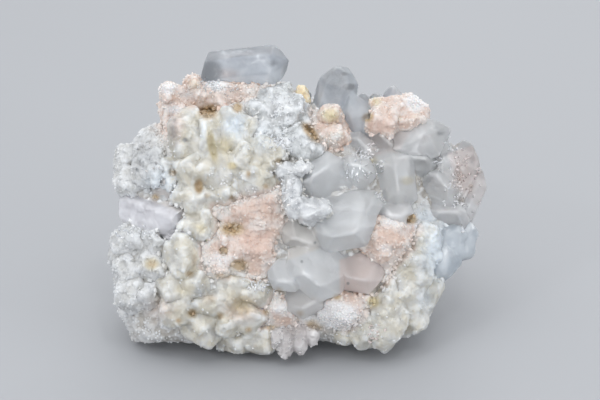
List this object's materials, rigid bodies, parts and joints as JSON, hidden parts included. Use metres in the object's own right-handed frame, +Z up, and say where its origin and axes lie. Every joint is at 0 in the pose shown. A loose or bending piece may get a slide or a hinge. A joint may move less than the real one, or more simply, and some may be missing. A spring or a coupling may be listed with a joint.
{
  "type": "mineral specimen",
  "caption": "Hand specimen of milky quartz crystals with cream calcite and pale pink rhodochrosite on vein rock, rests on a flat base",
  "frame": {"origin": "middle of the underside, at the height that it rests on", "axes": "+X runs to the right along the longest side as the front is seen, +Y runs to the back, +Z is up"},
  "size_m": [0.079, 0.0588, 0.0578],
  "materials": {
    "vein_rock": "rough",
    "milky_quartz": "glossy",
    "calcite": "satin",
    "rhodochrosite": "rough",
    "honey_calcite": "satin"
  },
  "bodies": {
    "root": {"vein_rock": "vein_rock", "lying_quartz_crystal": "milky_quartz", "upright_quartz_crystals": "milky_quartz", "central_quartz_cluster": "milky_quartz", "right_quartz_cluster": "milky_quartz", "left_quartz_crystals": "milky_quartz", "small_clear_crystal": "milky_quartz", "grey_spike_crystal": "milky_quartz", "left_calcite_columns": "calcite", "snowy_calcite_crest": "calcite", "top_rhodochrosite_patch": "rhodochrosite", "upper_calcite_lumps": "calcite", "left_calcite_knobs": "calcite", "left_white_calcite": "calcite", "lower_left_calcite_lumps": "calcite", "lower_right_calcite_columns": "calcite", "right_clear_calcite": "calcite", "top_left_rhodochrosite_crust": "rhodochrosite", "upper_right_rhodochrosite": "rhodochrosite", "left_rhodochrosite_mass": "rhodochrosite", "right_rhodochrosite_band": "rhodochrosite", "lower_rhodochrosite_patch": "rhodochrosite", "lower_left_rhodochrosite_patch": "rhodochrosite", "bottom_quartz_crystals": "milky_quartz", "honey_calcite_grain": "honey_calcite", "back_quartz_cluster": "milky_quartz", "back_rhodochrosite_crust": "rhodochrosite", "back_calcite_blocks": "calcite"}
  },
  "joints": []
}
